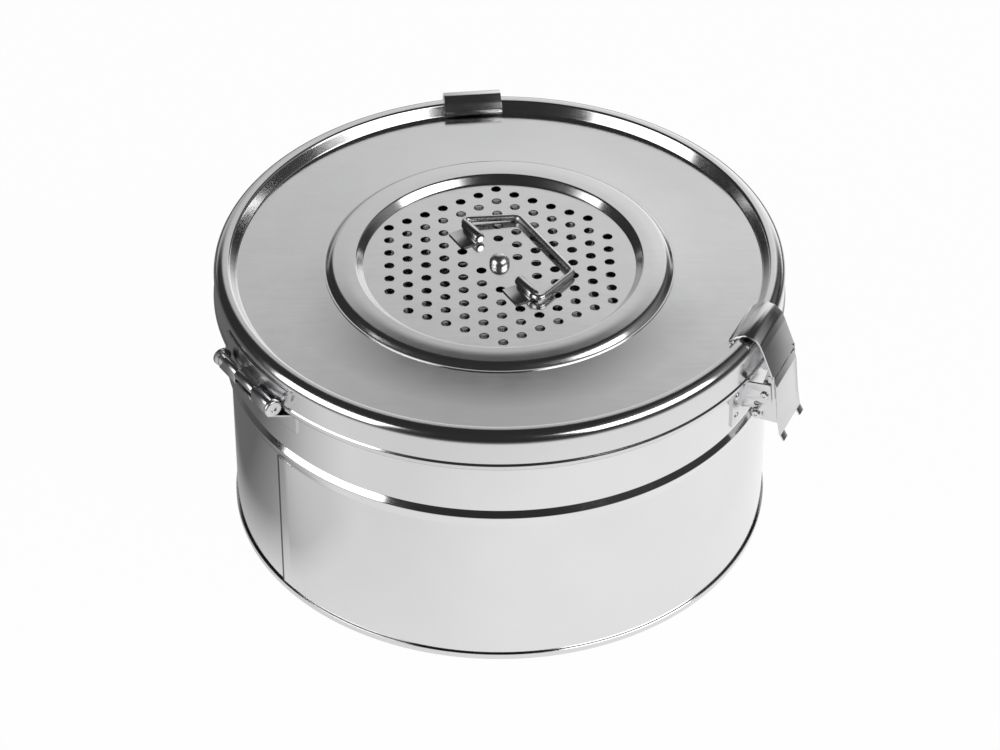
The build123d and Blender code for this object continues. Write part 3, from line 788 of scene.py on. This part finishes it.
lid_cloth_line = rounded(
    [(stud_hole, cloth_low), (86.0, cloth_low), (93.0, cloth_edge), (cloth_radius, cloth_edge)],
    [2.0, 2.0],
)
cloth_disc(
    "lid_cloth", "lid", lid_cloth_line, "lid_filter_cloth"
)
bottom_cloth_z = bottom_z + bottom_sheet / 2 + cloth_clearance + cloth_thickness / 2
bottom_cloth_line = rounded(
    [(stud_hole, bottom_cloth_z), (bottom_cloth_radius, bottom_cloth_z)], []
)
cloth_disc(
    "bottom_cloth", "drum", bottom_cloth_line, "bottom_filter_cloth",
)
plate_drop = 1.0         # from the cloth's middle to the plate's
filter_plate_radius = 108.0
filter_plate_lip = 2.5
inner_line = rounded(
    [
        (stud_hole, cloth_low - plate_drop), (86.6, cloth_low - plate_drop),
        (93.6, cloth_edge - plate_drop), (filter_plate_radius, cloth_edge - plate_drop),
        (filter_plate_radius, cloth_edge - plate_drop - filter_plate_lip),
    ],
    [2.0, 2.0, 1.0],
)
inner_mesh = punched(
    spun(sheet_outline(inner_line, lid_sheet)), top_hole_turn, cloth_low - plate_drop, plate_steel
)
finished(inner_mesh, "filter_plate_sheet", "lid", plate_steel, ["lid_filter_plate"])

# ---- stud and nuts ----
# The filter's stud comes up through the cover under a polished dome nut. A wing nut below it lets
# the cloth be changed by hand.
for node in ("filter_stud", "lid_wing_nut"):
    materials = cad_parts[node].data.materials
    materials.clear()
    materials.append(bright_steel)
dome_radius = 6.1
dome_height = 6.5
dome_outline = rounded(
    [
        (0.001, plate_z), (dome_radius, plate_z), (dome_radius, plate_z + dome_height),
        (0.001, plate_z + dome_height),
    ],
    [0.2, 5.2],
    arc_step=8.0,
)
dome_mesh = spun(dome_outline, steps=64)
finished(dome_mesh, "dome_nut_cap", "lid", bright_steel, ["dome_nut"], sharp=50.0)

# ---- handle brackets ----
# Two small strips of sheet, each rolled into a barrel round an end of the handle's wire and
# spot-welded to the cover by its flap.
handle_azimuth = -60.0
barrel_radius = 3.5
barrel_bore = 2.1
barrel_start = 24.0
barrel_end = 41.0
bracket_flap = 12.0
bracket_sheet = 1.0
handle_turn = radians(handle_azimuth)
handle_along = Vector((cos(handle_turn), sin(handle_turn), 0))
handle_across = Vector((-sin(handle_turn), cos(handle_turn), 0))
pivot_z = plate_z + barrel_radius


def circle(centre, radius, steps=32):
    """The points of a circle."""
    return arc(centre, radius, 0.0, 360.0, steps)[:-1]


def cut_out(loops, place, start, end, bevel=0.12):
    """A flat shape with holes, given thickness from start to end along the plane's normal and
    slightly rounded edges. place takes a point of the plane to the drum."""
    curve = bpy.data.curves.new("cut_out", "CURVE")
    curve.dimensions = "2D"
    curve.fill_mode = "BOTH"
    for loop in loops:
        spline = curve.splines.new("POLY")
        spline.points.add(len(loop) - 1)
        for point, at in zip(spline.points, loop):
            point.co = (at[0] * MM, at[1] * MM, 0, 1)
        spline.use_cyclic_u = True
    curve.extrude = (abs(end - start) / 2 - bevel) * MM
    curve.bevel_depth = bevel * MM
    curve.bevel_resolution = 1
    curve.offset = -bevel * MM
    holder = placed("holder", curve)
    graph = bpy.context.evaluated_depsgraph_get()
    mesh = bpy.data.meshes.new_from_object(holder.evaluated_get(graph))
    bpy.data.objects.remove(holder)
    mesh.transform(place @ Matrix.Translation((0, 0, (start + end) / 2 * MM)))
    work = bmesh.new()
    work.from_mesh(mesh)
    return clean(work)


def joined(meshes):
    """One mesh from several."""
    work = bmesh.new()
    for mesh in meshes:
        work.from_mesh(mesh)
    whole = bpy.data.meshes.new("joined")
    work.to_mesh(whole)
    work.free()
    return whole


def plane(x_axis, y_axis, origin=(0, 0, 0)):
    """The matrix of a plane with these axes."""
    x_axis, y_axis = Vector(x_axis), Vector(y_axis)
    z_axis = x_axis.cross(y_axis)
    return Matrix(
        [(*(x_axis[i], y_axis[i], z_axis[i]), origin[i] * MM) for i in range(3)] + [(0, 0, 0, 1)]
    )


bracket_plane = plane(handle_across, (0, 0, 1))
roll_line = rounded(
    [(-bracket_flap, plate_z + bracket_sheet / 2), (0.4, plate_z + bracket_sheet / 2)], []
)
roll_radius = (barrel_radius + barrel_bore) / 2
roll_line += arc((0, pivot_z), roll_radius, -84.0, 330.0, 22)[1:]


def barrel_end_shade(paint, _place):
    """Painted shade on the ends of the barrels, which face along the handle's pivot: drawn dark,
    and rougher as cut steel is.
    """
    facing = paint.split(paint.node("ShaderNodeNewGeometry", out="True Normal"))
    along = facing[0] * handle_along.x + facing[1] * handle_along.y
    return (abs(along) > 0.9) * 0.85


# A darker copy of the steel, painted darker for the shade that the rolled barrels sit in, with
# painted shade on their ends.
shaded_barrel_steel = steel(
    "shaded_barrel_steel", (0.60, 0.60, 0.61), 0.20, 0.08, 0.10, (1.0, 1.0, 1.0), painted_shade=barrel_end_shade
)
for node, low, high in (
    ("handle_bracket_left", barrel_start, barrel_end),
    ("handle_bracket_right", -barrel_end, -barrel_start),
):
    strip = cut_out([sheet_outline(roll_line, bracket_sheet)], bracket_plane, low, high)
    name = node.replace("bracket", "barrel")
    finished(strip, name, "lid", shaded_barrel_steel, [node])

# ---- handle ----
# Bent from polished wire. Its ends turn in towards each other inside the barrels, and it lies
# almost flat on the cover when it isn't held.
wire_radius = 2.0
handle_points = [(-23.0, 0), (-46.5, 0), (-32.5, 32.5), (32.5, 32.5), (46.5, 0), (23.0, 0)]
handle_drop = 1.1 / 32.5


def wire_tube(centres, radius, sides=20):
    """A round wire through points, with flat ends."""
    rings = []
    last_normal = None
    for i, centre in enumerate(centres):
        back = centres[max(i - 1, 0)]
        ahead = centres[min(i + 1, len(centres) - 1)]
        onward = (ahead - back).normalized()
        if last_normal is None:
            last_normal = onward.orthogonal().normalized()
        normal = (last_normal - onward * last_normal.dot(onward)).normalized()
        last_normal = normal
        other = onward.cross(normal)
        rings.append([
            (centre + normal * point.x + other * point.y) * MM
            for point in circle((0, 0), radius, sides)
        ])
    return skinned(rings)


handle_line = [
    handle_along * point.x
    + handle_across * point.y
    + Vector((0, 0, pivot_z - point.y * handle_drop))
    for point in rounded(handle_points, [3.0, 5.0, 5.0, 3.0])
]
handle_mesh = wire_tube(handle_line, wire_radius)
finished(handle_mesh, "handle_wire", "handle", bright_steel, ["handle"], sharp=60.0)

# ---- hinge ----
# A leaf on the lid's skirt and a leaf on the drum's band, rolled round one pin with flat
# heads, each with a dimple.
hinge_azimuth = -146.5
hinge_radius = 177.5
hinge_z = plate_z - 13.0
knuckle_radius = 3.25
pin_radius = 1.9
leaf_sheet = 1.2
barrel_half = 27.5
lid_knuckle_half = 9.2
knuckle_gap = 0.3
lid_leaf_span = (plate_z - 12.8, plate_z - 0.5)
lid_leaf_turn = 11.5     # degrees each way round the wall
band_leaf_span = (plate_z - 37.0, plate_z - 24.0)
band_leaf_turn = 10.9
pin_head_radius = 5.6
pin_head_height = 2.8
pin_head_rounding = 1.2
pin_recess_radius = 2.0
pin_recess_depth = 0.8
fitting_steel = steel("fitting_steel", (0.74, 0.74, 0.75), 0.22, 0.10, 0.15, (1.0, 1.0, 0.2))


def upright(azimuth):
    """The upright plane through the axis: x runs outwards, y up, and z sideways."""
    turn = radians(azimuth)
    return plane((cos(turn), sin(turn), 0), (0, 0, 1))


def wrapped(radius, sheet, span, azimuth, half_angle):
    """A strip of sheet that lies on a round wall. span is its lowest and highest edge."""
    low, high = span
    outline = rounded(
        [
            (radius + sheet / 2, low), (radius + sheet, low), (radius + sheet, high),
            (radius, high), (radius, low), (radius + sheet / 2, low),
        ],
        [0.2, 0.2, 0.05, 0.05],
        arc_step=45.0,
    )
    steps = max(6, int(half_angle * 2))
    return spun(outline[:-1], azimuth - half_angle, 2 * half_angle, steps)


def both_sides(loops, place, low, high):
    """A flat shape given thickness twice, at both sides of the middle."""
    return [cut_out(loops, place, low, high), cut_out(loops, place, -high, -low)]


hinge_plane = upright(hinge_azimuth)
eye_middle = (knuckle_radius + pin_radius) / 2
lid_eye = [Vector((skirt_radius + 0.2, hinge_z + knuckle_radius - leaf_sheet / 2))]
lid_eye += arc((hinge_radius, hinge_z), eye_middle, 90.0, -330.0, 24)
lid_leaf = joined([
    wrapped(skirt_radius, leaf_sheet, lid_leaf_span, hinge_azimuth, lid_leaf_turn),
    cut_out(
        [sheet_outline(lid_eye, knuckle_radius - pin_radius)], hinge_plane,
        -lid_knuckle_half, lid_knuckle_half,
    ),
])
finished(lid_leaf, "hinge_leaf_on_lid", "lid", fitting_steel, ["hinge_lid_leaf"])

knee = (180.1, plate_z - 19.0)
slope_foot = (band_radius - 1.5, plate_z - 26.0)
body_slope = [Vector(slope_foot), Vector(knee)]
body_eye = rounded([slope_foot, knee, (hinge_radius + eye_middle, hinge_z)], [1.5])
body_eye += arc((hinge_radius, hinge_z), eye_middle, 0.0, 330.0, 24)[1:]
slope_half = lid_knuckle_half + 0.5
body_leaf = joined([
    wrapped(band_radius, leaf_sheet, band_leaf_span, hinge_azimuth, band_leaf_turn),
    cut_out([sheet_outline(body_slope, leaf_sheet)], hinge_plane, -slope_half, slope_half),
    *both_sides(
        [sheet_outline(body_eye, leaf_sheet)], hinge_plane, lid_knuckle_half + knuckle_gap,
        barrel_half,
    ),
])
finished(
    body_leaf, "hinge_leaf_on_band", "drum", fitting_steel, ["hinge_body_leaf"]
)


def turned(profile, place, steps=32):
    """A small turned piece: a profile of (distance along, radius) about the plane's normal."""
    mesh = skinned([
        [(point.x * MM, point.y * MM, along * MM) for point in circle((0, 0), radius, steps)]
        for along, radius in profile
    ])
    mesh.transform(place)
    return mesh


def two_ended(half):
    """The profile of a pin from the profile of one half."""
    return [(-along, radius) for along, radius in half[::-1]] + half


pin_end = barrel_half + knuckle_gap
pin_tip = pin_end + pin_head_height
half_pin = [
    (pin_end, pin_radius), (pin_end, pin_head_radius), (pin_end + 0.4, pin_head_radius),
    (pin_tip - pin_head_rounding - 0.2, pin_head_radius),
    *arc(
        (pin_tip - pin_head_rounding, pin_head_radius - pin_head_rounding), pin_head_rounding,
        90.0, -90.0, 6,
    ),
    (pin_tip, pin_recess_radius + 0.2), (pin_tip, pin_recess_radius),
    (pin_tip - pin_recess_depth, pin_recess_radius), (pin_tip - pin_recess_depth, 0.02),
]
pin_place = hinge_plane @ Matrix.Translation((hinge_radius * MM, hinge_z * MM, 0))
pin_mesh = turned(two_ended(half_pin), pin_place)
finished(
    pin_mesh, "hinge_pin_round", "drum", bright_steel, ["hinge_pin"], sharp=50.0
)

# ---- latches ----
# Two draw latches. On each a channel-shaped lever with a finger tab turns on the ears of a bracket
# on the band, and a wide hook pinned to the lever is drawn down over the lid's rim.
latch_azimuths = {"back": 96.0, "right": -24.0}
latch_sheet = 1.2
bracket_span = (plate_z - 50.5, plate_z - 24.0)
bracket_half = 30.0
hook_half = 18.0
leg_inner = hook_half - latch_sheet
cheek_outer = leg_inner - 0.4
cheek_inner = cheek_outer - latch_sheet
ear_inner = hook_half + 0.4
ear_outer = ear_inner + latch_sheet
lever_pivot = Vector((179.9, plate_z - 28.8))
hook_pivot = Vector((174.7, plate_z - 45.2))
pivot_radius = 1.6
pivot_head = 2.5
pivot_bore = 1.7
leg_width = 3.6
eye_radius = 3.6
curl_radius = 1.15
curl_sheet = 1.1
tip_sheet = 0.96
tip_width = 6.0
rivet_radius = 2.4
rivet_height = 1.0
hook_line = [
    (156.9, 4.2), (160.5, 7.4), (165.6, 10.0), (170.4, 9.3), (174.5, 6.0), (176.9, 1.0),
    (184.0, -16.7),
]
lever_line = [(183.8, -18.8), (185.7, -23.5), (187.1, -38.0), (188.0, -47.0), (189.9, -58.0)]
cheek_points = [
    (183.4, -19.2), (178.0, -20.6), (176.4, -28.0), (171.5, -42.6), (171.4, -47.2),
    (175.6, -49.6), (188.0, -49.6), (187.0, -38.0), (185.6, -23.5),
]
ear_points = [
    (165.2, -25.0), (170.0, -22.0), (183.0, -20.6), (184.3, -33.5), (172.8, -39.6),
    (165.2, -41.6),
]
ear_hole = Vector((175.3, plate_z - 36.0))


def over_floor(points):
    """Latch points, from heights over the lid plate to heights over the floor."""
    return [(distance, plate_z + height) for distance, height in points]


def rounded_loop(points, radius):
    """A closed outline with its corners rounded."""
    middle = ((points[0][0] + points[-1][0]) / 2, (points[0][1] + points[-1][1]) / 2)
    line = rounded([middle, *points, middle], [radius] * len(points), arc_step=20.0)
    return line[:-1]


hook_sheet_line = rounded(over_floor(hook_line), [2.5, 4.0, 4.0, 4.0, 5.0])
hook_nose = Vector((hook_line[0][0], plate_z + hook_line[0][1] - 0.9))
curl = arc(hook_nose, curl_radius, -200.0, 320.0, 16)
leg_line = [hook_pivot, Vector((184.0, plate_z - 31.0)), Vector((182.6, plate_z - 15.0))]
rivet_places = [(side * 25.0, below) for side in (-1, 1) for below in (30.0, 45.0)]
rivet_tree = tree_with(
    "rivets",
    [
        ("Places", "NodeSocketObject"), ("Head radius", "NodeSocketFloat"),
        ("Head height", "NodeSocketFloat"), ("Finish", "NodeSocketMaterial"),
    ],
)
rivet_in = rivet_tree.nodes.new("NodeGroupInput").outputs
seats_node = add_node(rivet_tree, "GeometryNodeObjectInfo", None, {"Object": rivet_in["Places"]})
head_node = add_node(
    rivet_tree, "GeometryNodeMeshUVSphere", None,
    {"Segments": 20, "Rings": 12, "Radius": rivet_in["Head radius"]},
)
squash_size = add_node(rivet_tree, "ShaderNodeCombineXYZ", None, {"X": 1.0, "Y": 1.0})
squash_ratio = add_node(
    rivet_tree, "ShaderNodeMath", {"operation": "DIVIDE"},
    {0: rivet_in["Head height"], 1: rivet_in["Head radius"]},
)
rivet_tree.links.new(squash_ratio.outputs[0], squash_size.inputs["Z"])
head_flat = add_node(
    rivet_tree, "GeometryNodeTransform", None,
    {"Geometry": head_node.outputs["Mesh"], "Scale": squash_size.outputs[0]},
)
face_out = add_node(rivet_tree, "GeometryNodeInputNormal")
turn_out = add_node(
    rivet_tree, "FunctionNodeAlignRotationToVector", {"axis": "Z"},
    {"Vector": face_out.outputs["Normal"]},
)
seat_node = add_node(
    rivet_tree, "GeometryNodeInstanceOnPoints", None,
    {
        "Points": seats_node.outputs["Geometry"], "Instance": head_flat.outputs["Geometry"],
        "Rotation": turn_out.outputs["Rotation"],
    },
)
heads_node = add_node(
    rivet_tree, "GeometryNodeRealizeInstances", None,
    {"Geometry": seat_node.outputs["Instances"]},
)
rivet_paint = add_node(
    rivet_tree, "GeometryNodeSetMaterial", None,
    {"Geometry": heads_node.outputs["Geometry"], "Material": rivet_in["Finish"]},
)
rivet_out = rivet_tree.nodes.new("NodeGroupOutput")
rivet_tree.links.new(rivet_paint.outputs["Geometry"], rivet_out.inputs["Geometry"])


def rivet_heads(places, radius, height, finish):
    """Rivet heads on points that carry the direction each head faces as their normal."""
    points = bpy.data.meshes.new("seats")
    vertices, faces = [], []
    for at, out in places:
        side = Vector((0, 0, 1)).cross(out).normalized() * 0.01 * MM
        rise = out.cross(side)
        start = len(vertices)
        vertices += [at * MM + side, at * MM - side * 0.5 + rise, at * MM - side * 0.5 - rise]
        faces.append((start, start + 1, start + 2))
    points.from_pydata(vertices, [], faces)
    seats = placed("seats", points)
    empty = bpy.data.meshes.new("no_geometry")
    result = baked(
        empty, rivet_tree,
        {
            "Places": seats, "Head radius": radius * MM, "Head height": height * MM,
            "Finish": finish,
        },
    )
    bpy.data.objects.remove(seats)
    return result


def pivot_end(start):
    """The end of a pivot's profile: a flat head with a dimple."""
    return [
        (start, pivot_radius), (start, pivot_head), (start + 0.6, pivot_head),
        (start + 1.0, pivot_head - 0.5), (start + 1.0, 1.1), (start + 0.7, 0.8),
        (start + 0.7, 0.02),
    ]


for name, azimuth in latch_azimuths.items():
    middle = upright(azimuth)
    ear_loops = [
        rounded_loop(over_floor(ear_points), 0.8), circle(lever_pivot, pivot_radius),
        circle(ear_hole, pivot_bore),
    ]
    bracket = joined([
        wrapped(
            band_radius, latch_sheet, bracket_span, azimuth, degrees(bracket_half / band_radius)
        ),
        *both_sides(ear_loops, middle, ear_inner, ear_outer),
    ])
    finished(
        bracket, f"{name}_bracket", "drum", fitting_steel,
        [f"latch_{name}_bracket"],
    )

    cheek_loops = [
        rounded_loop(over_floor(cheek_points), 0.4), circle(lever_pivot, pivot_bore),
        circle(hook_pivot, pivot_radius),
    ]
    face_line = rounded(over_floor(lever_line), [2.0, 20.0, 20.0])
    tab_end = face_line[-1]
    tip_line = [tab_end + Vector((-0.1, 0.3)), tab_end + Vector((2.4, -4.0))]
    tip_loops = [sheet_outline(tip_line, tip_sheet)]
    lever = joined([
        cut_out([sheet_outline(face_line, latch_sheet)], middle, -cheek_outer, cheek_outer),
        *both_sides(cheek_loops, middle, cheek_inner, cheek_outer),
        *both_sides(tip_loops, middle, cheek_outer - tip_width, cheek_outer),
    ])
    finished(
        lever, f"{name}_lever", f"{name}_lever", fitting_steel,
        [f"latch_{name}_lever"],
    )

    eye_loops = [circle(hook_pivot, eye_radius), circle(hook_pivot, pivot_bore)]
    hook = joined([
        cut_out([sheet_outline(hook_sheet_line, latch_sheet)], middle, -hook_half, hook_half),
        cut_out([sheet_outline(curl, curl_sheet)], middle, -hook_half, hook_half),
        *both_sides([sheet_outline(leg_line, leg_width)], middle, leg_inner, hook_half),
        *both_sides(eye_loops, middle, leg_inner, hook_half),
    ])
    finished(
        hook, f"{name}_hook", f"{name}_hook", fitting_steel,
        [f"latch_{name}_hook"],
    )

    pivot_place = middle @ Matrix.Translation((lever_pivot.x * MM, lever_pivot.y * MM, 0))
    pivot_profile = [
        (cheek_inner - 1.0, pivot_head - 0.3), (cheek_inner - 0.8, pivot_head),
        (cheek_inner - 0.2, pivot_head), (cheek_inner - 0.2, pivot_radius),
        *pivot_end(ear_outer),
    ]
    pivots = joined([
        turned(pivot_profile, pivot_place),
        turned([(-along, radius) for along, radius in pivot_profile], pivot_place),
    ])
    finished(
        pivots, f"{name}_pivots", "drum", bright_steel,
        [f"latch_{name}_pivots"], sharp=30.0,
    )

    hook_pin_place = middle @ Matrix.Translation((hook_pivot.x * MM, hook_pivot.y * MM, 0))
    hook_pin = turned(two_ended(pivot_end(hook_half + 0.2)), hook_pin_place)
    finished(
        hook_pin, f"{name}_hook_pin", f"{name}_lever", bright_steel,
        [f"latch_{name}_hook_pin"], sharp=30.0,
    )

    seats = []
    for along, below in rivet_places:
        turn = radians(azimuth) + along / band_radius
        out = Vector((cos(turn), sin(turn), 0))
        seats.append((out * (band_radius + latch_sheet) + Vector((0, 0, plate_z - below)), out))
    heads = rivet_heads(seats, rivet_radius, rivet_height, bright_steel)
    finished(
        heads, f"{name}_rivets", "drum", bright_steel,
        [f"latch_{name}_rivets"], sharp=60.0,
    )
